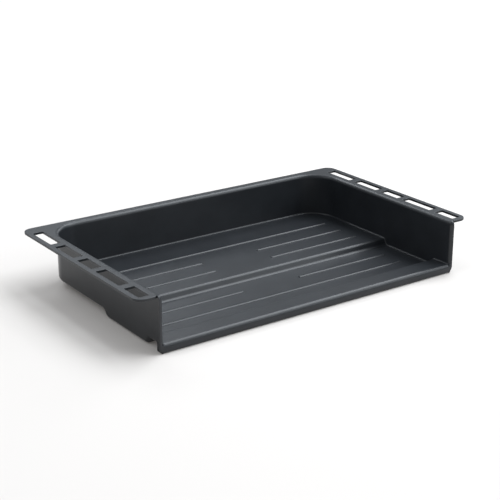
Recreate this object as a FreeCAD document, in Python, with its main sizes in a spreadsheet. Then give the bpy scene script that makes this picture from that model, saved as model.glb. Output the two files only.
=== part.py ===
import FreeCAD, Part
import math
import os

import Sketcher

# One-piece moulded drawer tray: a shallow basin hung between two slotted side flanges.
# +X is the width, -Y the open front, +Z up. The origin is under the middle of the tray, level with its base.

SIZES = {
    # outer box
    "overall_width": 500.0,
    "overall_depth": 290.0,
    "overall_height": 70.0,
    # moulding
    "plate": 3.0,
    "bend_radius": 2.0,
    "rim_radius": 5.0,
    "floor_radius": 2.0,
    # flange
    "flange_back_radius": 13.0,
    "flange_front_radius": 12.0,
    # slots in each side flange, measured from the back edge of the flange
    "slot_inner": 230.0,
    "slot_outer": 243.5,
    "slot_corner": 1.2,
    # basin
    "basin_width": 437.2,
    "back_strip": 12.6,
    "corner_radius": 40.0,
    "front_frame_width": 448.0,
    "front_frame_corner": 6.5,
    # stepped floor, measured from the back edge of the flange
    "step_height": 8.5,
    "crest_back": 163.0,
    "foot_back": 167.0,
    "under_crest_back": 153.5,
    "under_foot_back": 161.5,
    "under_bend": 9.0,
    "step_bend": 4.5,
    # raised front lip and the channel under it
    "riser_foot_back": 254.0,
    "riser_crest_back": 261.2,
    "channel_foot_back": 255.4,
    "channel_crest_back": 262.6,
    "notch_front_back": 278.5,
    "notch_corner": 4.0,
    # beads on the floor
    "bead_width": 5.0,
    "bead_rise": 1.3,
    "bead_round": 1.2,
    "bead_end": 2.4,
    "bead_outer": 191.0,
    "bead_inner": 43.5,
    # how far a cut runs past the solid it leaves
    "overrun": 1.0,
}

# back and front edge of each flange slot, from the back edge of the flange
SLOTS = [(20.3, 69.5), (80.0, 127.0), (137.0, 172.0), (181.5, 235.5), (246.0, 279.0)]

# distance of each bead from the back edge, and whether it is broken in the middle
REAR_BEADS = [(67.0, False), (101.5, True), (134.3, True)]
FRONT_BEADS = [(195.0, True), (227.0, False)]

BACK = "sizes.overall_depth / 2"
FRONT = "-sizes.overall_depth / 2"
HALF_BASIN = "(sizes.basin_width / 2)"
HALF_BLOCK = "(sizes.basin_width / 2 + sizes.plate)"
UPPER_FLOOR = "(sizes.plate + sizes.step_height)"
# tolerance for picking edges by their place, mm
EASY = 0.05
# smallest change of volume that counts as a change, mm3
LEAST_CHANGE = 1.0


def from_back(name):
    """Expression for the y of a place given as a distance from the back edge."""
    return f"(sizes.overall_depth / 2 - sizes.{name})"


def fill_sheet(doc):
    """Write the driving sizes to a sheet, one alias to a row."""
    sheet = doc.addObject("Spreadsheet::Sheet", "sizes")
    rows = dict(SIZES)
    for number, (start, end) in enumerate(SLOTS, 1):
        rows[f"slot_start_{number}"] = start
        rows[f"slot_end_{number}"] = end
    for number, (place, _) in enumerate(REAR_BEADS + FRONT_BEADS, 1):
        rows[f"bead_place_{number}"] = place
    for row, (alias, value) in enumerate(rows.items(), 1):
        sheet.set(f"A{row}", alias)
        sheet.set(f"B{row}", str(value))
        sheet.setAlias(f"B{row}", alias)
    doc.recompute()
    return sheet


def new_sketch(body, name, role, offset=None):
    """Make a sketch on one of the body's origin planes, moved along its normal by an expression."""
    sketch = body.newObject("Sketcher::SketchObject", name)
    plane = next(item for item in body.Origin.OriginFeatures if item.Role == role)
    sketch.AttachmentSupport = [(plane, "")]
    sketch.MapMode = "FlatFace"
    if offset:
        sketch.setExpression("AttachmentOffset.Base.z", offset)
    return sketch


def bind_point(sketch, geometry, corner):
    """Tie the start of a line to two expressions measured from the sketch's origin."""
    for kind, expression in zip(("DistanceX", "DistanceY"), corner):
        value = float(sketch.evalExpression(expression))
        index = sketch.addConstraint(Sketcher.Constraint(kind, -1, 1, geometry, 1, value))
        sketch.setExpression(f"Constraints[{index}]", expression)


def add_outline(sketch, corners):
    """Draw a closed outline of straight lines whose corners are pairs of expressions."""
    points = [FreeCAD.Vector(*[float(sketch.evalExpression(item)) for item in corner], 0) for corner in corners]
    first = sketch.GeometryCount
    count = len(corners)
    for index in range(count):
        sketch.addGeometry(Part.LineSegment(points[index], points[(index + 1) % count]), False)
    for index in range(count):
        following = first + (index + 1) % count
        sketch.addConstraint(Sketcher.Constraint("Coincident", first + index, 2, following, 1))
    for index, corner in enumerate(corners):
        bind_point(sketch, first + index, corner)


def add_box(sketch, left, right, low, high):
    """Draw a rectangle between four expressions."""
    add_outline(sketch, [(left, low), (right, low), (right, high), (left, high)])


def add_basin_outline(sketch, half, front, back, radius):
    """Draw a plan outline that is square at the front and has two rounded corners at the back."""
    half_mm, front_mm, back_mm, radius_mm = [float(sketch.evalExpression(item))
                                             for item in (half, front, back, radius)]
    along = back_mm - radius_mm
    across = half_mm - radius_mm
    up = FreeCAD.Vector(0, 0, 1)
    corners = [Part.ArcOfCircle(Part.Circle(FreeCAD.Vector(side * across, along, 0), up, radius_mm),
                                start, start + math.pi / 2)
               for side, start in ((1, 0.0), (-1, math.pi / 2))]
    ends = [FreeCAD.Vector(x, y, 0) for x, y in ((-half_mm, front_mm), (half_mm, front_mm), (half_mm, along),
                                                (across, back_mm), (-across, back_mm), (-half_mm, along))]
    sketch.addGeometry([Part.LineSegment(ends[0], ends[1]), Part.LineSegment(ends[1], ends[2]), corners[0],
                        Part.LineSegment(ends[3], ends[4]), corners[1], Part.LineSegment(ends[5], ends[0])], False)
    sketch.addConstraint(Sketcher.Constraint("Coincident", 0, 2, 1, 1))
    sketch.addConstraint(Sketcher.Constraint("Coincident", 5, 2, 0, 1))
    for before in range(1, 5):
        sketch.addConstraint(Sketcher.Constraint("Tangent", before, 2, before + 1, 1))
    sketch.addConstraint(Sketcher.Constraint("Vertical", 1))
    sketch.addConstraint(Sketcher.Constraint("Horizontal", 3))
    sketch.addConstraint(Sketcher.Constraint("Vertical", 5))
    bind_point(sketch, 0, (f"-{half}", front))
    bind_point(sketch, 1, (half, front))
    for kind, places, value, expression in (("Radius", (2,), radius_mm, radius), ("Radius", (4,), radius_mm, radius),
                                            ("DistanceY", (-1, 1, 3, 1), back_mm, back)):
        index = sketch.addConstraint(Sketcher.Constraint(kind, *places, value))
        sketch.setExpression(f"Constraints[{index}]", expression)


def add_feature(body, kind, name, sketch, length, midplane=False, reverse=False):
    """Pad or pocket a sketch by the length that an expression gives, and check that it changed the solid."""
    before = body.Shape.Volume if body.Tip else 0.0
    feature = body.newObject(f"PartDesign::{kind}", name)
    feature.Profile = sketch
    feature.setExpression("Length", length)
    feature.Midplane = midplane
    feature.Reversed = reverse
    body.Document.recompute()
    grew = body.Shape.Volume - before
    if (grew > 0) != (kind == "Pad") or abs(grew) < LEAST_CHANGE:
        raise RuntimeError(f"{name} changed the volume by {grew:.1f} mm3")
    return feature


def edges_where(body, test):
    """Names of the edges of the body's present shape that pass a test on their bounding box."""
    return [f"Edge{number}" for number, edge in enumerate(body.Shape.Edges, 1) if test(edge.BoundBox)]


def add_fillet(body, name, radius, test):
    """Round the chosen edges of the body's present shape."""
    base = body.Tip
    names = edges_where(body, test)
    if not names:
        raise RuntimeError(f"{name} found no edges")
    feature = body.newObject("PartDesign::Fillet", name)
    feature.Base = (base, names)
    feature.setExpression("Radius", radius)
    body.Document.recompute()
    if not feature.isValid() or feature.Shape.isNull():
        raise RuntimeError(f"{name} failed on {names}")
    return feature


def near(value, target):
    """True for two lengths that agree."""
    return abs(value - target) < EASY


def flat_at(low, high, level):
    """True for an extent that lies at one place."""
    return near(low, level) and near(high, level)


def lies_at_z(box, level):
    """True for an edge that stays at one height."""
    return flat_at(box.ZMin, box.ZMax, level)


def lies_at_y(box, place):
    """True for an edge that stays at one place along the depth."""
    return flat_at(box.YMin, box.YMax, place)


def lies_at_side(box, half):
    """True for an edge at a distance to the left or right of the middle plane."""
    return flat_at(box.XMin, box.XMax, half) or flat_at(box.XMin, box.XMax, -half)


def within(box, half):
    """True for an edge no further from the middle plane than a distance."""
    return box.XMin > -half - EASY and box.XMax < half + EASY


def build_block(body):
    """Solid block of the basin's outer shape, relieved under the rear floor."""
    sketch = new_sketch(body, "block_outline", "XY_Plane")
    add_basin_outline(sketch, HALF_BLOCK, FRONT, f"{from_back('back_strip')} + sizes.plate",
                      "(sizes.corner_radius + sizes.plate)")
    add_feature(body, "Pad", "block", sketch, "sizes.overall_height")

    sketch = new_sketch(body, "rear_relief_profile", "YZ_Plane")
    past_back = f"{BACK} + sizes.overrun"
    add_outline(sketch, [(past_back, "-sizes.overrun"), (past_back, "sizes.step_height"),
                         (from_back("under_crest_back"), "sizes.step_height"),
                         (from_back("under_foot_back"), "0"),
                         (from_back("under_foot_back"), "-sizes.overrun")])
    add_feature(body, "Pocket", "rear_relief", sketch, "sizes.overall_width", midplane=True)


def round_block(body, sheet, half_block, back_wall):
    """Round the underside of the step, then the bottom edges of the block all the way round."""
    crest = sheet.overall_depth / 2 - sheet.under_crest_back
    foot = sheet.overall_depth / 2 - sheet.under_foot_back
    add_fillet(body, "under_step_bends", "sizes.under_bend",
               lambda box: (lies_at_y(box, crest) and lies_at_z(box, sheet.step_height))
               or (lies_at_y(box, foot) and lies_at_z(box, 0)))
    inside = half_block - sheet.corner_radius - sheet.plate - sheet.overrun
    add_fillet(body, "block_bottom_bend", "sizes.floor_radius + sizes.plate",
               lambda box: box.ZMax < sheet.step_height + sheet.overrun
               and (box.XMin > inside or box.XMax < -inside or lies_at_y(box, back_wall)))


def build_flange(body, sheet):
    """Flange plate at the top of the block, and the front frame that the walls and the lip roll into."""
    sketch = new_sketch(body, "flange_outline", "XY_Plane", "sizes.overall_height - sizes.plate")
    add_box(sketch, "-sizes.overall_width / 2", "sizes.overall_width / 2", f"{FRONT} + sizes.plate", BACK)
    add_feature(body, "Pad", "flange", sketch, "sizes.plate")
    half = sheet.overall_width / 2
    add_fillet(body, "flange_back_corners", "sizes.flange_back_radius",
               lambda box: lies_at_side(box, half) and lies_at_y(box, sheet.overall_depth / 2))
    add_fillet(body, "flange_front_corners", "sizes.flange_front_radius",
               lambda box: lies_at_side(box, half) and box.YMax < 0 and near(box.YMin, box.YMax))

    sketch = new_sketch(body, "front_frame_outline", "XZ_Plane", "sizes.overall_depth / 2 - sizes.plate")
    add_box(sketch, "-sizes.front_frame_width / 2", "sizes.front_frame_width / 2", "0", "sizes.overall_height")
    add_feature(body, "Pad", "front_frame", sketch, "sizes.plate")
    frame_half = sheet.front_frame_width / 2
    add_fillet(body, "front_frame_corners", "sizes.front_frame_corner",
               lambda box: lies_at_side(box, frame_half) and lies_at_z(box, 0))


def cut_channel(body):
    """Open channel under the raised lip, and the notch where it comes out through each side wall."""
    channel = [(from_back("channel_foot_back"), "-sizes.overrun"), (from_back("channel_foot_back"), "0"),
               (from_back("channel_crest_back"), "sizes.step_height")]
    sketch = new_sketch(body, "channel_profile", "YZ_Plane")
    add_outline(sketch, channel + [(f"{FRONT} + sizes.plate", "sizes.step_height"),
                                   (f"{FRONT} + sizes.plate", "-sizes.overrun")])
    add_feature(body, "Pocket", "channel", sketch, "sizes.basin_width", midplane=True)

    sketch = new_sketch(body, "notch_profile", "YZ_Plane")
    add_outline(sketch, channel + [(from_back("notch_front_back"), "sizes.step_height"),
                                   (from_back("notch_front_back"), "-sizes.overrun")])
    add_feature(body, "Pocket", "notch", sketch, "sizes.overall_width", midplane=True)


def round_channel(body, sheet):
    """Bends of the channel: its rear foot, its rear crest and the front top corner of each notch."""
    back = sheet.overall_depth / 2
    bends = [(back - sheet.channel_foot_back, 0), (back - sheet.channel_crest_back, sheet.step_height),
             (back - sheet.notch_front_back, sheet.step_height)]
    add_fillet(body, "channel_bends", "sizes.notch_corner",
               lambda box: any(lies_at_y(box, place) and lies_at_z(box, level) for place, level in bends))


def cut_basin(body):
    """Hollow of the basin: the upper floor level first, then the lower floor between the step and the riser."""
    sketch = new_sketch(body, "basin_outline", "XY_Plane", "sizes.overall_height")
    add_basin_outline(sketch, HALF_BASIN, f"{FRONT} - sizes.overrun", from_back("back_strip"), "sizes.corner_radius")
    add_feature(body, "Pocket", "basin", sketch, f"sizes.overall_height - {UPPER_FLOOR}")

    sketch = new_sketch(body, "lower_floor_profile", "YZ_Plane")
    above = f"{UPPER_FLOOR} + sizes.overrun"
    add_outline(sketch, [(from_back("crest_back"), above), (from_back("crest_back"), UPPER_FLOOR),
                         (from_back("foot_back"), "sizes.plate"), (from_back("riser_foot_back"), "sizes.plate"),
                         (from_back("riser_crest_back"), UPPER_FLOOR), (from_back("riser_crest_back"), above)])
    add_feature(body, "Pocket", "lower_floor", sketch, "sizes.basin_width", midplane=True)


def round_basin(body, sheet):
    """Bends of the stepped floor, then the bend between the floor and the walls."""
    half = sheet.basin_width / 2
    back = sheet.overall_depth / 2
    upper = sheet.plate + sheet.step_height
    bends = [(back - sheet.crest_back, upper), (back - sheet.foot_back, sheet.plate),
             (back - sheet.riser_foot_back, sheet.plate), (back - sheet.riser_crest_back, upper)]
    add_fillet(body, "floor_bends", "sizes.step_bend",
               lambda box: box.XLength > half
               and any(lies_at_y(box, place) and lies_at_z(box, level) for place, level in bends))
    inner_back = back - sheet.back_strip
    channel = back - sheet.channel_foot_back
    add_fillet(body, "floor_wall_bend", "sizes.floor_radius",
               lambda box: box.ZMin > sheet.plate - EASY and box.ZMax < upper + EASY
               and not (box.YMax < channel + EASY and box.ZMax < sheet.step_height + EASY)
               and (lies_at_side(box, half) or lies_at_y(box, inner_back)
                    or (lies_at_z(box, upper) and box.YMin > inner_back - sheet.corner_radius - EASY)))


def roll_rim(body, sheet):
    """Roll the rim and the front opening outwards, with the matching bends under the flange and the lip."""
    half = sheet.basin_width / 2
    top = sheet.overall_height
    front = -sheet.overall_depth / 2
    inner_back = sheet.overall_depth / 2 - sheet.back_strip
    add_fillet(body, "rim_roll", "sizes.rim_radius",
               lambda box: (lies_at_z(box, top) and within(box, half) and box.YMax < inner_back + EASY)
               or (lies_at_y(box, front) and within(box, half) and box.ZMin > sheet.step_height)
               or (lies_at_y(box, front) and lies_at_z(box, top)))
    add_fillet(body, "under_rim_bend", "sizes.bend_radius",
               lambda box: lies_at_z(box, top - sheet.plate) and within(box, half + sheet.plate))
    add_fillet(body, "under_lip_bend", "sizes.bend_radius",
               lambda box: lies_at_z(box, sheet.step_height) and lies_at_y(box, front + sheet.plate))


def cut_slots(body, sheet):
    """Five slots through the left side flange, mirrored to the right, with rounded corners."""
    sketch = new_sketch(body, "slot_outlines", "XY_Plane", "sizes.overall_height")
    for number in range(1, len(SLOTS) + 1):
        add_box(sketch, "-sizes.slot_outer", "-sizes.slot_inner",
                from_back(f"slot_end_{number}"), from_back(f"slot_start_{number}"))
    slots = add_feature(body, "Pocket", "slots", sketch, "2 * sizes.plate")
    before = body.Shape.Volume
    mirror = body.newObject("PartDesign::Mirrored", "slots_mirrored")
    mirror.Originals = [slots]
    mirror.MirrorPlane = (sketch, ["V_Axis"])
    body.Tip = mirror
    body.Document.recompute()
    if before - body.Shape.Volume < LEAST_CHANGE:
        raise RuntimeError("the mirrored slots cut nothing")
    add_fillet(body, "slot_corners", "sizes.slot_corner",
               lambda box: box.ZLength > sheet.plate - EASY and box.XLength < EASY and box.YLength < EASY
               and (lies_at_side(box, sheet.slot_inner) or lies_at_side(box, sheet.slot_outer)))


def add_beads(body, sheet, name, beads, first, level_expression, level):
    """Low beads across one level of the floor, each a strip with rounded ends and a rounded top."""
    sketch = new_sketch(body, f"{name}_outlines", "XY_Plane", level_expression)
    for number, (_, broken) in enumerate(beads, first):
        low = f"{from_back(f'bead_place_{number}')} - sizes.bead_width / 2"
        high = f"{from_back(f'bead_place_{number}')} + sizes.bead_width / 2"
        if broken:
            add_box(sketch, "-sizes.bead_outer", "-sizes.bead_inner", low, high)
            add_box(sketch, "sizes.bead_inner", "sizes.bead_outer", low, high)
        else:
            add_box(sketch, "-sizes.bead_outer", "sizes.bead_outer", low, high)
    add_feature(body, "Pad", name, sketch, "sizes.bead_rise")
    top = level + sheet.bead_rise
    add_fillet(body, f"{name}_ends", "sizes.bead_end",
               lambda box: near(box.ZMin, level) and near(box.ZMax, top) and box.XLength < EASY
               and box.YLength < EASY)
    add_fillet(body, f"{name}_tops", "sizes.bead_round", lambda box: lies_at_z(box, top))


def check_document(doc, node):
    """Stop on any failed feature, or on a solid that isn't whole."""
    failed = [item.Name for item in doc.Objects if "Invalid" in item.State or "Error" in item.State]
    if failed:
        raise RuntimeError(f"failed: {failed}")
    if node.Shape.isNull() or not node.Shape.isValid() or len(node.Shape.Solids) != 1:
        raise RuntimeError(f"{node.Label} isn't one valid solid")


def main():
    doc = FreeCAD.newDocument("drawer_tray")
    sheet = fill_sheet(doc)
    body = doc.addObject("PartDesign::Body", "tray")
    body.Label = "tray"
    half_block = sheet.basin_width / 2 + sheet.plate
    back_wall = sheet.overall_depth / 2 - sheet.back_strip + sheet.plate
    build_block(body)
    round_block(body, sheet, half_block, back_wall)
    build_flange(body, sheet)
    cut_channel(body)
    round_channel(body, sheet)
    cut_basin(body)
    round_basin(body, sheet)
    roll_rim(body, sheet)
    cut_slots(body, sheet)
    add_beads(body, sheet, "rear_beads", REAR_BEADS, 1, UPPER_FLOOR, sheet.plate + sheet.step_height)
    add_beads(body, sheet, "front_beads", FRONT_BEADS, len(REAR_BEADS) + 1, "sizes.plate", sheet.plate)
    check_document(doc, body)
    os.makedirs("parts", exist_ok=True)
    body.Shape.exportStep(f"parts/{body.Label}.step")
    print(f"{body.Label}: {body.Shape.Volume / 1000:.1f} cm3, {len(body.Shape.Faces)} faces, {body.Shape.BoundBox}")


main()
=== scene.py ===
"""Drawer tray in moulded anthracite plastic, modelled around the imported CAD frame.

The tray is one skin: a stepped floor, walls, a rolled rim and two slotted side flanges. The skin is built as
one half, mirrored, and given its wall thickness. Low beads stand on the floor, and two small feet close the
ends of the front lip. Mesh work is in millimetres and is scaled to metres when a mesh is finished.
"""
import logging
import math
from dataclasses import dataclass, field
from enum import Enum
from typing import Callable, Iterable

import bmesh
import bpy
from mathutils import Matrix, Vector


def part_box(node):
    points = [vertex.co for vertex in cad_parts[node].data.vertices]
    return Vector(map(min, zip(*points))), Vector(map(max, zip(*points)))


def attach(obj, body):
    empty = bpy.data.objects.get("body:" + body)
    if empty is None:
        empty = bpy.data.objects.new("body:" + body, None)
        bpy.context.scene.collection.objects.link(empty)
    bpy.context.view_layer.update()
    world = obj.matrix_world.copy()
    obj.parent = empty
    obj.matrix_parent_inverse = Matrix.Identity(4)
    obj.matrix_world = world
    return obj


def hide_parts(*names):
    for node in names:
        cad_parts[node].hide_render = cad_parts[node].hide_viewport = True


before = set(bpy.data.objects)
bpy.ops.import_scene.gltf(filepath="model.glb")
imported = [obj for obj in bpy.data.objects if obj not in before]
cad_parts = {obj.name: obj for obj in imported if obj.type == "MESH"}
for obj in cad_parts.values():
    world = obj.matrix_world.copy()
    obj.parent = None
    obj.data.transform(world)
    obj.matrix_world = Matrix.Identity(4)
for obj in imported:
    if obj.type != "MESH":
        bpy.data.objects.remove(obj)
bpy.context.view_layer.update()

LOG = logging.getLogger("drawer_tray")
MM = 0.001
TINY = 0.02
LEVEL_NORMAL = 0.01
UP_NORMAL = 0.9
SHARP_TURN = math.radians(60)
NORMAL_WEIGHT = 80
WEAR_LAYER = "edge_wear"
UNDER_LAYER = "under"


class Piece(Enum):
    """Names of the objects that this scene makes."""

    TRAY = "tray_moulding"
    FLOOR = "studio_floor"
    CAMERA = "studio_camera"


def is_near(value: float, target: float) -> bool:
    """True for two lengths in millimetres that agree."""
    return abs(value - target) < TINY


def tangent_length(radius: float, turn: float) -> float:
    """Distance from a corner to where a bend of that radius starts, for a turn in radians."""
    return radius * math.tan(turn / 2)


@dataclass(frozen=True)
class Bend:
    """A bend of the floor, at a corner of its profile.

    Attributes:
        y: Place of the corner along the depth.
        z: Height of the corner.
        radius: Radius of the bend.
    """

    y: float
    z: float
    radius: float


@dataclass(frozen=True)
class Bead:
    """A low bead across the floor.

    Attributes:
        y: Place of its middle along the depth.
        level: Height of the floor under it.
        broken: True where it is open in the middle.
    """

    y: float
    level: float
    broken: bool


@dataclass
class TrayMoulding:
    """The whole tray, as one moulded shell. Sizes are in millimetres.

    Attributes:
        half_width: Half the width over the flanges.
        back: Place of the flange's back edge.
        front: Place of the lip's front face.
        top: Height of the flange's upper side.
        plate: Wall thickness.
        wall: Inner face of a side wall, from the middle.
        back_strip: Width of the rim behind the basin.
        corner_radius: Radius of the basin's rear corners.
        rim_radius: Radius of the rolled rim and of the rolled front opening.
        seam_radius: Distance over which the floor bends into the walls.
        lower_floor: Height of the front floor.
        upper_floor: Height of the rear floor and of the lip.
        floor_radius: Radius of the bends in the floor's profile.
        step_crest: Place of the floor step's upper corner.
        step_foot: Place of its lower corner.
        riser_foot: Place of the lower corner of the rise to the lip.
        riser_crest: Place of its upper corner.
        frame_half: Half the width of the front frame.
        frame_corner: Rounding of the front frame's lower corners.
        frame_return: How far the front frame reaches back at the flange.
        flange_front: Place of the flange's front edge.
        flange_join: Where the flange's front edge starts, from the middle.
        flange_back_radius: Rounding of the flange's rear corners.
        flange_front_radius: Rounding of its front corners.
        slot_inner: Inner side of the slots, from the middle.
        slot_outer: Outer side of the slots.
        slot_radius: Rounding of the slots' corners.
        slots: Rear and front end of each slot.
        edge_break: Distance over which cut edges are rounded.
        lip_break: The same along the bottom of the front.
        bead_half: Half the width of a bead.
        bead_rise: Height of a bead.
        bead_end: Rounding of a bead's ends.
        bead_steps: Number of steps up a bead's side.
        bead_crown: Share of a bead's arc that its flat crown takes.
        bead_inner: Where a broken bead starts, from the middle.
        bead_outer: Where every bead ends, from the middle.
        beads: The beads, from the rear.
        foot_back: Rear face of the two feet.
        foot_round: Rounding of the feet.
        under_step: Places along the step's underside, and where each one moves to.
        corner_segments: Strips round a rear corner of the basin.
        outline_segments: Strips round a corner of the flange.
        round_segments: Strips round a corner of the front frame or a bead's end.
        bend_segments: Strips round a bend of the skin.
        fine_segments: Strips round every small rounding.
    """

    half_width: float
    back: float
    front: float
    top: float
    plate: float = 3.0
    wall: float = 218.6
    back_strip: float = 12.6
    corner_radius: float = 40.0
    rim_radius: float = 5.0
    seam_radius: float = 2.0
    lower_floor: float = 3.0
    upper_floor: float = 11.5
    floor_radius: float = 4.5
    step_crest: float = -18.0
    step_foot: float = -22.0
    riser_foot: float = -109.0
    riser_crest: float = -116.2
    frame_half: float = 224.0
    frame_corner: float = 6.5
    frame_return: float = 5.5
    flange_front: float = -142.0
    flange_join: float = 227.0
    flange_back_radius: float = 13.0
    flange_front_radius: float = 12.0
    slot_inner: float = 230.0
    slot_outer: float = 243.5
    slot_radius: float = 1.2
    slots: tuple[tuple[float, float], ...] = ((124.7, 75.5), (65.0, 18.0), (8.0, -27.0), (-36.5, -90.5),
                                              (-101.0, -134.0))
    edge_break: float = 0.38
    lip_break: float = 2.3
    bead_half: float = 2.5
    bead_rise: float = 1.3
    bead_end: float = 2.3
    bead_steps: int = 7
    bead_crown: float = 0.2
    bead_inner: float = 43.5
    bead_outer: float = 191.0
    beads: tuple[Bead, ...] = (Bead(78.0, 11.5, False), Bead(43.5, 11.5, True), Bead(10.7, 11.5, True),
                               Bead(-50.0, 3.0, True), Bead(-82.0, 3.0, False))
    foot_back: float = -133.5
    foot_round: float = 0.8
    under_step: tuple[tuple[float, float], ...] = ((-34.0, -34.0), (-20.1, -16.5), (-16.1, -8.5), (8.0, 8.0))
    corner_segments: int = 16
    outline_segments: int = 10
    round_segments: int = 8
    bend_segments: int = 6
    fine_segments: int = 4

    @classmethod
    def from_box(cls, low: Vector, high: Vector) -> "TrayMoulding":
        """Take the outer sizes from the CAD node's box.

        Args:
            low: Lowest corner in metres.
            high: Highest corner in metres.

        Returns:
            The moulding with its other sizes at their defaults.
        """
        return cls(half_width=high.x / MM, back=high.y / MM, front=low.y / MM, top=high.z / MM)

    def floor_bends(self) -> tuple[Bend, ...]:
        """Corners of the floor's profile that are bent."""
        return (Bend(self.step_crest, self.upper_floor, self.floor_radius),
                Bend(self.step_foot, self.lower_floor, self.floor_radius),
                Bend(self.riser_foot, self.lower_floor, self.floor_radius),
                Bend(self.riser_crest, self.upper_floor, self.floor_radius))

    def build(self, finish: "MouldedPlastic") -> bpy.types.Object:
        """Model the tray and dress it.

        Args:
            finish: Finish of the plastic.

        Returns:
            The finished object, in metres.
        """
        skin = bmesh.new()
        self._lay_cage(skin)
        self._bend_floor(skin)
        self._roll_edges(skin)
        self._round_outline(skin)
        self._mirror(skin)
        shell = self._thicken(skin)
        self._widen_under_step(shell)
        shell = self._break_edges(shell)
        self._add_beads(shell)
        self._add_feet(shell)
        return finish_mesh(shell, Piece.TRAY.value, finish.build())

    def _lay_cage(self, bm: bmesh.types.BMesh) -> None:
        """Lay the flat faces of the right half's inner and upper skin, and weld them."""
        inner_back = self.back - self.back_strip
        profile = [(inner_back, self.top), (inner_back, self.upper_floor)]
        profile += [(bend.y, bend.z) for bend in self.floor_bends()] + [(self.front, self.upper_floor)]
        line = [bm.verts.new((0, y, z)) for y, z in profile]
        edges = [bm.edges.new(pair) for pair in zip(line, line[1:])]
        swept = bmesh.ops.extrude_edge_only(bm, edges=edges)["geom"]
        far_side = [part for part in swept if isinstance(part, bmesh.types.BMVert)]
        bmesh.ops.translate(bm, vec=(self.wall, 0, 0), verts=far_side)
        wall = [(self.wall, y, z) for y, z in profile] + [(self.wall, self.front, self.top)]
        front = [(0, 0), (self.frame_half, 0), (self.frame_half, self.top), (self.wall, self.top),
                 (self.wall, self.upper_floor), (0, self.upper_floor)]
        inner, outer = self._flange_outlines(inner_back)
        for outline in (wall, [(x, self.front, z) for x, z in front], inner, outer):
            bm.faces.new([bm.verts.new(place) for place in outline])
        bmesh.ops.remove_doubles(bm, verts=bm.verts, dist=TINY)
        bmesh.ops.recalc_face_normals(bm, faces=bm.faces)

    def _flange_outlines(self, inner_back: float) -> tuple[list[tuple], list[tuple]]:
        """Outlines of the flange on each side of the middle line of its slots.

        Args:
            inner_back: Place of the basin's back wall.

        Returns:
            The inner and the outer outline, as points at the flange's height.
        """
        middle = (self.slot_inner + self.slot_outer) / 2
        inner = [(0, inner_back), (self.wall, inner_back), (self.wall, self.front),
                 (self.frame_half, self.front), (self.frame_half, self.front + self.frame_return),
                 (self.flange_join, self.flange_front), (middle, self.flange_front)]
        outer = [(middle, self.back), (self.half_width, self.back), (self.half_width, self.flange_front),
                 (middle, self.flange_front)]
        for high, low in reversed(self.slots):
            for outline, side in ((inner, self.slot_inner), (outer, self.slot_outer)):
                outline += [(middle, low), (side, low), (side, high), (middle, high)]
        inner += [(middle, self.back), (0, self.back)]
        return [(x, y, self.top) for x, y in inner], [(x, y, self.top) for x, y in outer]

    def _bend_floor(self, bm: bmesh.types.BMesh) -> None:
        """Round the basin's rear corner, bend the floor's profile, then bend the floor into the walls."""
        inner_back = self.back - self.back_strip
        bevel(bm, lambda e: ends_at(e, x=self.wall, y=inner_back), self.corner_radius, self.corner_segments)
        for bend in self.floor_bends():
            edges = [e for e in bm.edges if ends_at(e, y=bend.y, z=bend.z)]
            turn = edges[0].calc_face_angle()
            bevel(bm, lambda e: e in edges, tangent_length(bend.radius, turn), self.bend_segments)
        bevel(bm, self._is_floor_seam, self.seam_radius, self.fine_segments)

    def _is_floor_seam(self, edge: bmesh.types.BMEdge) -> bool:
        """True for an edge between the floor and a wall."""
        if len(edge.link_faces) != 2 or ends_at(edge, y=self.front):
            return False
        walls = [is_wall(face) for face in edge.link_faces]
        return walls[0] != walls[1] and min(v.co.z for v in edge.verts) < self.upper_floor + TINY

    def _roll_edges(self, bm: bmesh.types.BMesh) -> None:
        """Roll the rim and the front opening outwards in one bend."""
        def is_rolled(edge: bmesh.types.BMEdge) -> bool:
            """True for an edge of the rim or of the front opening."""
            if len(edge.link_faces) != 2:
                return False
            if ends_at(edge, z=self.top):
                return any(is_wall(face) for face in edge.link_faces)
            return ends_at(edge, y=self.front)
        bevel(bm, is_rolled, self.rim_radius, self.bend_segments)

    def _round_outline(self, bm: bmesh.types.BMesh) -> None:
        """Round the corners of the flange, of its slots and of the front frame, in their own planes."""
        back_corner = [(self.half_width, self.back, self.top)]
        front_corner = [(self.half_width, self.flange_front, self.top)]
        foot_corner = [(self.frame_half, self.front, 0)]
        slot_corners = [(side, end, self.top) for pair in self.slots for end in pair
                        for side in (self.slot_inner, self.slot_outer)]
        for places, radius, segments in ((back_corner, self.flange_back_radius, self.outline_segments),
                                         (front_corner, self.flange_front_radius, self.outline_segments),
                                         (foot_corner, self.frame_corner, self.round_segments),
                                         (slot_corners, self.slot_radius, self.fine_segments)):
            corners = [v for v in bm.verts if any((v.co - Vector(place)).length < TINY for place in places)]
            bmesh.ops.bevel(bm, geom=corners, affect="VERTICES", offset=radius, segments=segments,
                            profile=0.5, material=-1)

    def _mirror(self, bm: bmesh.types.BMesh) -> None:
        """Add the left half, weld it on, and face the skin upwards."""
        bmesh.ops.mirror(bm, geom=bm.verts[:] + bm.edges[:] + bm.faces[:], axis="X", merge_dist=TINY)
        bmesh.ops.remove_doubles(bm, verts=bm.verts, dist=TINY / 2)
        bmesh.ops.recalc_face_normals(bm, faces=bm.faces)
        flange = max(bm.faces, key=lambda face: face.calc_center_median().z)
        if flange.normal.z < 0:
            bmesh.ops.reverse_faces(bm, faces=bm.faces)

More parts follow.
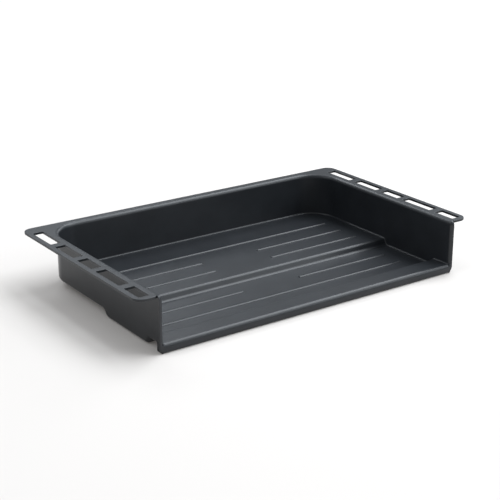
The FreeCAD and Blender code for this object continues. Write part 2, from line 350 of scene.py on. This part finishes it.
    def _thicken(self, skin: bmesh.types.BMesh) -> bmesh.types.BMesh:
        """Give the skin its wall thickness on its underside.

        Args:
            skin: The welded upper skin, which is used up.

        Returns:
            The shell. A layer of its points marks the ones of the underside.
        """
        count = len(skin.verts)
        shell = apply_modifier(skin, "SOLIDIFY", thickness=self.plate, offset=-1, use_even_offset=True,
                               use_quality_normals=True)
        under = shell.verts.layers.float.new(UNDER_LAYER)
        for number, vert in enumerate(shell.verts):
            vert[under] = float(number >= count)
        return shell

    def _widen_under_step(self, bm: bmesh.types.BMesh) -> None:
        """Stretch the step's underside along the depth, so that it runs in a longer curve than the top."""
        under = bm.verts.layers.float[UNDER_LAYER]
        for vert in bm.verts:
            if vert[under] > 0.5 and vert.co.z < self.upper_floor + 2 * self.plate:
                vert.co.y = remap(vert.co.y, self.under_step)

    def _break_edges(self, bm: bmesh.types.BMesh) -> bmesh.types.BMesh:
        """Take the sharpness off every cut edge of the shell, more along the bottom of the front.

        Args:
            bm: The shell, which is used up.

        Returns:
            The shell with rounded edges. A layer of its points marks the crowns of the roundings as rubbed.
        """
        share = bm.edges.layers.float.new("bevel_weight_edge")
        for edge in bm.edges:
            if is_sharp(edge):
                edge[share] = self._edge_rounding(edge) / self.lip_break
        rounded = apply_modifier(bm, "BEVEL", width=self.lip_break, segments=self.fine_segments,
                                 limit_method="WEIGHT", offset_type="OFFSET", use_clamp_overlap=False,
                                 profile=0.5)
        wear = rounded.verts.layers.float.new(WEAR_LAYER)
        for vert in rounded.verts:
            vert[wear] = float(all(strip_width(face) < self.edge_break for face in vert.link_faces))
        return rounded

    def _edge_rounding(self, edge: bmesh.types.BMEdge) -> float:
        """Distance that one sharp edge is rounded over, in millimetres."""
        middle = (edge.verts[0].co + edge.verts[1].co) / 2
        if not ends_at(edge, y=self.front) or middle.z > self.frame_corner:
            return self.edge_break
        return self.lip_break + (self.edge_break - self.lip_break) * middle.z / self.frame_corner

    def _add_beads(self, bm: bmesh.types.BMesh) -> None:
        """Stand each bead in the floor as a closed strip with rounded ends and a rounded top."""
        whole = [(-self.bead_outer, self.bead_outer)]
        halves = [(-self.bead_outer, -self.bead_inner), (self.bead_inner, self.bead_outer)]
        for bead in self.beads:
            for left, right in halves if bead.broken else whole:
                low = Vector((left, bead.y - self.bead_half, bead.level - self.plate / 2))
                high = Vector((right, bead.y + self.bead_half, bead.level))
                block = add_block(bm, low, high)
                block = bevel_block(bm, block, is_upright, self.bead_end, self.round_segments)
                self._crown(bm, next(face for vert in block for face in vert.link_faces
                                     if face.normal.z > UP_NORMAL))

    def _crown(self, bm: bmesh.types.BMesh, face: bmesh.types.BMFace) -> None:
        """Raise the top face of a bead in steps that follow an arc.

        Args:
            bm: Mesh that holds the bead.
            face: The bead's top face, level with the floor.
        """
        radius = (self.bead_half ** 2 + self.bead_rise ** 2) / (2 * self.bead_rise)
        spread = math.asin(self.bead_half / radius)
        turns = [spread * (1 - step / self.bead_steps) for step in range(self.bead_steps)]
        turns.append(spread * self.bead_crown)
        for outer, inner in zip(turns, turns[1:]):
            bmesh.ops.inset_region(bm, faces=[face], use_even_offset=True,
                                   thickness=radius * (math.sin(outer) - math.sin(inner)),
                                   depth=radius * (math.cos(inner) - math.cos(outer)))

    def _add_feet(self, bm: bmesh.types.BMesh) -> None:
        """Carry each side wall down to the base behind the front frame."""
        for side in (-1, 1):
            ends = sorted((side * self.wall, side * (self.wall + self.plate)))
            low = Vector((ends[0], self.front + self.edge_break, 0))
            high = Vector((ends[1], self.foot_back, self.upper_floor))
            block = add_block(bm, low, high)
            block = bevel_block(bm, block, lambda e: ends_at(e, y=high.y) and is_upright(e), self.foot_round,
                                self.fine_segments)
            bevel_block(bm, block, lambda e: ends_at(e, z=0), self.foot_round, self.fine_segments)


def ends_at(edge: bmesh.types.BMEdge, x: float | None = None, y: float | None = None,
            z: float | None = None) -> bool:
    """True for an edge that has both ends at the given places."""
    return all(is_near(vert.co[axis], place) for vert in edge.verts
               for axis, place in enumerate((x, y, z)) if place is not None)


def is_upright(edge: bmesh.types.BMEdge) -> bool:
    """True for a vertical edge."""
    first, second = edge.verts
    return is_near(first.co.x, second.co.x) and is_near(first.co.y, second.co.y)


def is_wall(face: bmesh.types.BMFace) -> bool:
    """True for an upright face."""
    return abs(face.normal.z) < LEVEL_NORMAL


def is_sharp(edge: bmesh.types.BMEdge) -> bool:
    """True for an edge where two faces meet in a sharp turn."""
    return len(edge.link_faces) == 2 and edge.calc_face_angle() > SHARP_TURN


def remap(value: float, stops: Iterable[tuple[float, float]]) -> float:
    """Move a value by straight runs between stops, and leave it alone outside them."""
    stops = tuple(stops)
    for (start, new_start), (end, new_end) in zip(stops, stops[1:]):
        if start <= value <= end:
            return new_start + (new_end - new_start) * (value - start) / (end - start)
    return value


def bevel(bm: bmesh.types.BMesh, test: Callable, offset: float, segments: int) -> None:
    """Bevel the edges that pass a test.

    Args:
        bm: Mesh to change.
        test: Says which edges to bevel.
        offset: Distance from each edge to where its bend starts.
        segments: Number of strips in the bend.
    """
    edges = [edge for edge in bm.edges if test(edge)]
    bmesh.ops.bevel(bm, geom=edges, affect="EDGES", offset=offset, offset_type="OFFSET", segments=segments,
                    profile=0.5, material=-1, clamp_overlap=False)
    LOG.info("bevelled %d edges by %.2f mm", len(edges), offset)
    bm.normal_update()


def strip_width(face: bmesh.types.BMFace) -> float:
    """Width of a long face: its area over its longest side."""
    return face.calc_area() / max(edge.calc_length() for edge in face.edges)


def apply_modifier(bm: bmesh.types.BMesh, kind: str, **settings: object) -> bmesh.types.BMesh:
    """Run one modifier on a mesh.

    Args:
        bm: Mesh to change, which is used up.
        kind: Type of the modifier.
        settings: Values of the modifier's properties.

    Returns:
        The changed mesh.
    """
    mesh = bpy.data.meshes.new("work")
    bm.to_mesh(mesh)
    bm.free()
    holder = bpy.data.objects.new("work", mesh)
    bpy.context.scene.collection.objects.link(holder)
    modifier = holder.modifiers.new("work", kind)
    for name, value in settings.items():
        setattr(modifier, name, value)
    evaluated = holder.evaluated_get(bpy.context.evaluated_depsgraph_get())
    made = bpy.data.meshes.new_from_object(evaluated)
    changed = bmesh.new()
    changed.from_mesh(made)
    bpy.data.objects.remove(holder)
    bpy.data.meshes.remove(mesh)
    bpy.data.meshes.remove(made)
    return changed


def add_block(bm: bmesh.types.BMesh, low: Vector, high: Vector) -> list:
    """Add a closed block between two corners, and return its points."""
    verts = bmesh.ops.create_cube(bm, size=1.0)["verts"]
    bmesh.ops.scale(bm, vec=high - low, verts=verts)
    bmesh.ops.translate(bm, vec=(low + high) / 2, verts=verts)
    return verts


def bevel_block(bm: bmesh.types.BMesh, block: list, test: Callable, offset: float, segments: int) -> list:
    """Bevel the edges of one closed block that pass a test.

    Args:
        bm: Mesh that holds the block.
        block: Points of the block.
        test: Says which edges to bevel.
        offset: Distance from each edge to where its bend starts.
        segments: Number of strips in the bend.

    Returns:
        All points of the block after the change.
    """
    edges = {edge for vert in block for edge in vert.link_edges if test(edge)}
    made = bmesh.ops.bevel(bm, geom=list(edges), affect="EDGES", offset=offset, segments=segments,
                           profile=0.5, material=-1, clamp_overlap=False)
    bm.normal_update()
    return [vert for vert in set(block) | set(made["verts"]) if vert.is_valid]


def finish_mesh(bm: bmesh.types.BMesh, name: str, material: bpy.types.Material) -> bpy.types.Object:
    """Scale a mesh to metres and make an object of it with smooth, area-weighted shading.

    Args:
        bm: Mesh in millimetres, which is used up.
        name: Name of the object.
        material: Its finish.

    Returns:
        The object, at the origin.
    """
    bmesh.ops.scale(bm, vec=(MM, MM, MM), verts=bm.verts)
    for face in bm.faces:
        face.smooth = True
    mesh = bpy.data.meshes.new(name)
    bm.to_mesh(mesh)
    bm.free()
    mesh.materials.append(material)
    piece = bpy.data.objects.new(name, mesh)
    bpy.context.scene.collection.objects.link(piece)
    weighted = piece.modifiers.new("weighted_normals", "WEIGHTED_NORMAL")
    weighted.weight = NORMAL_WEIGHT
    LOG.info("%s has %d points and %d faces", name, len(mesh.vertices), len(mesh.polygons))
    return piece


@dataclass(frozen=True)
class Pattern:
    """A noise pattern.

    Attributes:
        scale: How fine it is.
        detail: How many octaves it has.
    """

    scale: float
    detail: float


@dataclass(frozen=True)
class Relief:
    """A bump that follows a noise pattern.

    Attributes:
        pattern: The noise.
        strength: How strongly it turns the surface.
        depth: Its depth in metres.
    """

    pattern: Pattern
    strength: float
    depth: float


@dataclass(frozen=True)
class MouldedPlastic:
    """Satin moulded anthracite plastic with a fine grain.

    Attributes:
        name: Name of the material.
        dark: Deeper colour of the mottling.
        light: Paler colour of the mottling.
        worn: Colour of rubbed edges.
        roughness: Lowest and highest roughness of the surface.
        index: Refractive index.
        gloss: Strength of the mirror reflection.
        mottling: Where the two colours lie.
        mottling_band: Values of the mottling where the deeper colour ends and the paler one starts.
        rubbing: How patchy the rubbed edges are.
        polish: Where the surface is smoother.
        fine: The mould's fine grain.
        broad: Slight waviness of the walls.
    """

    name: str = "tray_plastic"
    dark: tuple[float, float, float] = (0.0165, 0.0185, 0.0215)
    light: tuple[float, float, float] = (0.0205, 0.0230, 0.0265)
    worn: tuple[float, float, float] = (0.05, 0.054, 0.06)
    roughness: tuple[float, float] = (0.30, 0.38)
    index: float = 1.5
    gloss: float = 0.36
    mottling: Pattern = Pattern(28.0, 4.0)
    mottling_band: tuple[float, float] = (0.35, 0.65)
    rubbing: Pattern = Pattern(90.0, 3.0)
    polish: Pattern = Pattern(45.0, 5.0)
    fine: Relief = Relief(Pattern(1900.0, 2.0), 0.25, 0.00004)
    broad: Relief = Relief(Pattern(16.0, 2.0), 0.3, 0.0006)

    def build(self) -> bpy.types.Material:
        """Make the material."""
        material = bpy.data.materials.new(self.name)
        material.use_nodes = True
        nodes = material.node_tree.nodes
        links = material.node_tree.links
        shader = nodes["Principled BSDF"]
        shader.inputs["IOR"].default_value = self.index
        shader.inputs["Specular IOR Level"].default_value = self.gloss
        place = nodes.new("ShaderNodeTexCoord").outputs["Object"]
        self._colour(nodes, links, place, shader)

        polish = nodes.new("ShaderNodeMapRange")
        polish.inputs["To Min"].default_value = self.roughness[0]
        polish.inputs["To Max"].default_value = self.roughness[1]
        links.new(self._noise(nodes, links, place, self.polish), polish.inputs["Value"])
        links.new(polish.outputs["Result"], shader.inputs["Roughness"])

        fine = self._bump(nodes, links, place, self.fine, None)
        links.new(self._bump(nodes, links, place, self.broad, fine), shader.inputs["Normal"])
        return material

    def _colour(self, nodes: bpy.types.Nodes, links: bpy.types.NodeLinks, place: bpy.types.NodeSocket,
                shader: bpy.types.Node) -> None:
        """Colour the surface with its mottling, paler where an edge is rubbed.

        Args:
            nodes: Nodes of the material.
            links: Links of the material.
            place: Coordinates of the surface.
            shader: Node that takes the colour.
        """
        mottled = nodes.new("ShaderNodeValToRGB")
        for stop, position, colour in zip(mottled.color_ramp.elements, self.mottling_band,
                                          (self.dark, self.light)):
            stop.position = position
            stop.color = (*colour, 1.0)
        links.new(self._noise(nodes, links, place, self.mottling), mottled.inputs["Fac"])

        wear = nodes.new("ShaderNodeAttribute")
        wear.attribute_name = WEAR_LAYER
        rubbed = nodes.new("ShaderNodeMath")
        rubbed.operation = "MULTIPLY"
        links.new(wear.outputs["Fac"], rubbed.inputs[0])
        links.new(self._noise(nodes, links, place, self.rubbing), rubbed.inputs[1])

        edge = nodes.new("ShaderNodeMix")
        edge.data_type = "RGBA"
        edge.inputs["B"].default_value = (*self.worn, 1.0)
        links.new(rubbed.outputs[0], edge.inputs["Factor"])
        links.new(mottled.outputs["Color"], edge.inputs["A"])
        links.new(edge.outputs["Result"], shader.inputs["Base Color"])

    @staticmethod
    def _noise(nodes: bpy.types.Nodes, links: bpy.types.NodeLinks, place: bpy.types.NodeSocket,
               pattern: Pattern) -> bpy.types.NodeSocket:
        """Add a noise pattern, and return its value."""
        noise = nodes.new("ShaderNodeTexNoise")
        noise.inputs["Scale"].default_value = pattern.scale
        noise.inputs["Detail"].default_value = pattern.detail
        links.new(place, noise.inputs["Vector"])
        return noise.outputs["Fac"]

    @classmethod
    def _bump(cls, nodes: bpy.types.Nodes, links: bpy.types.NodeLinks, place: bpy.types.NodeSocket,
              relief: Relief, under: bpy.types.NodeSocket | None) -> bpy.types.NodeSocket:
        """Add a bump over another one.

        Args:
            nodes: Nodes of the material.
            links: Links of the material.
            place: Coordinates of the surface.
            relief: The bump.
            under: Normal of the bump below it, or None.

        Returns:
            The bumped normal.
        """
        bump = nodes.new("ShaderNodeBump")
        bump.inputs["Strength"].default_value = relief.strength
        bump.inputs["Distance"].default_value = relief.depth
        links.new(cls._noise(nodes, links, place, relief.pattern), bump.inputs["Height"])
        if under is not None:
            links.new(under, bump.inputs["Normal"])
        return bump.outputs["Normal"]


@dataclass
class SoftBox:
    """A rectangular studio light aimed at a point. Lengths are in metres."""

    name: str
    place: tuple[float, float, float]
    aim: tuple[float, float, float]
    size: tuple[float, float]
    power: float
    tint: tuple[float, float, float] = (0.9, 0.95, 1.0)

    def build(self) -> bpy.types.Object:
        """Hang the light."""
        data = bpy.data.lights.new(self.name, "AREA")
        data.shape = "RECTANGLE"
        data.size, data.size_y = self.size
        data.energy = self.power
        data.color = self.tint
        light = bpy.data.objects.new(self.name, data)
        light.location = self.place
        light.visible_camera = False
        light.rotation_euler = (Vector(self.aim) - Vector(self.place)).to_track_quat("-Z", "Y").to_euler()
        bpy.context.scene.collection.objects.link(light)
        return light


@dataclass
class Studio:
    """Pale floor, soft lights, even surroundings and the camera.

    Attributes:
        yaw: Heading of the view, in degrees from +Y towards +X.
        pitch: How far the view looks down, in degrees.
        roll: Turn of the camera about its axis, in degrees.
        place: Place of the camera, in metres.
        lens: Focal length in millimetres.
        sensor: Width of the sensor in millimetres.
        floor_size: Side of the square floor, in metres.
        floor_colour: Colour of the floor.
        floor_roughness: Roughness of the floor.
        floor_gloss: Strength of its mirror reflection.
        floor_glow: Strength of its own light, which lifts the shadows.
        floor_gap: How far it lies below the tray's base, in metres.
        sky: Brightness of the surroundings.
        sky_tint: Colour of the surroundings.
        lights: The soft lights.
    """

    yaw: float = 35.5975
    pitch: float = 20.0969
    roll: float = 0.2184
    place: tuple[float, float, float] = (-0.880768, -1.233427, 0.588914)
    lens: float = 89.834
    sensor: float = 36.0
    floor_size: float = 14.0
    floor_colour: tuple[float, float, float, float] = (0.66, 0.625, 0.595, 1.0)
    floor_roughness: float = 0.9
    floor_gloss: float = 0.1
    floor_glow: float = 0.10
    floor_gap: float = 0.0004
    sky: float = 0.38
    sky_tint: tuple[float, float, float] = (0.92, 0.96, 1.0)
    lights: tuple[SoftBox, ...] = field(default_factory=lambda: (
        SoftBox("overhead_softbox", (2.1, -0.2, 3.4), (0.0, 0.0, 0.0), (4.4, 2.2), 200.0),
        SoftBox("back_softbox", (0.6, 4.4, 3.6), (0.0, 0.0, 0.0), (4.0, 1.6), 90.0),
        SoftBox("side_softbox", (4.3, 2.0, 1.8), (0.0, 0.0, 0.0), (2.2, 1.6), 34.0),
        SoftBox("left_fill", (-2.2, 0.9, 3.4), (0.0, 0.0, 0.0), (2.4, 2.4), 30.0),
        SoftBox("front_fill", (3.0, -3.6, 2.2), (0.0, 0.0, 0.0), (3.0, 2.0), 55.0),
    ))

    def build(self) -> None:
        """Set up everything around the tray."""
        self._lay_floor()
        self._paint_surroundings()
        self._set_camera()
        for light in self.lights:
            light.build()

    def _lay_floor(self) -> None:
        """Lay the floor just clear of the tray's base."""
        bm = bmesh.new()
        bmesh.ops.create_grid(bm, x_segments=1, y_segments=1, size=self.floor_size / 2)
        bmesh.ops.translate(bm, vec=(0, 0, -self.floor_gap), verts=bm.verts)
        mesh = bpy.data.meshes.new(Piece.FLOOR.value)
        bm.to_mesh(mesh)
        bm.free()
        material = bpy.data.materials.new("studio_floor_paint")
        material.use_nodes = True
        shader = material.node_tree.nodes["Principled BSDF"]
        shader.inputs["Base Color"].default_value = self.floor_colour
        shader.inputs["Roughness"].default_value = self.floor_roughness
        shader.inputs["Specular IOR Level"].default_value = self.floor_gloss
        shader.inputs["Emission Color"].default_value = self.floor_colour
        shader.inputs["Emission Strength"].default_value = self.floor_glow
        mesh.materials.append(material)
        floor = bpy.data.objects.new(Piece.FLOOR.value, mesh)
        bpy.context.scene.collection.objects.link(floor)

    def _paint_surroundings(self) -> None:
        """Surround the scene with even, slightly cool light."""
        world = bpy.data.worlds.new("studio_surroundings")
        bpy.context.scene.world = world
        world.use_nodes = True
        background = world.node_tree.nodes["Background"]
        background.inputs["Color"].default_value = (*self.sky_tint, 1.0)
        background.inputs["Strength"].default_value = self.sky

    def _set_camera(self) -> None:
        """Place the camera at its viewing angle."""
        data = bpy.data.cameras.new(Piece.CAMERA.value)
        data.lens = self.lens
        data.sensor_width = self.sensor
        camera = bpy.data.objects.new(Piece.CAMERA.value, data)
        turn = (Matrix.Rotation(-math.radians(self.yaw), 4, "Z")
                @ Matrix.Rotation(math.radians(90 - self.pitch), 4, "X")
                @ Matrix.Rotation(math.radians(self.roll), 4, "Z"))
        camera.matrix_world = Matrix.Translation(self.place) @ turn
        bpy.context.scene.collection.objects.link(camera)
        bpy.context.scene.camera = camera


def main() -> None:
    """Build the studio and the tray."""
    logging.basicConfig(level=logging.INFO, format="%(name)s: %(message)s")
    Studio().build()
    bpy.context.scene.view_settings.view_transform = "Standard"
    tray = TrayMoulding.from_box(*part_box("tray")).build(MouldedPlastic())
    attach(tray, "root")
    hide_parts("tray")


if __name__ == "__main__":
    main()
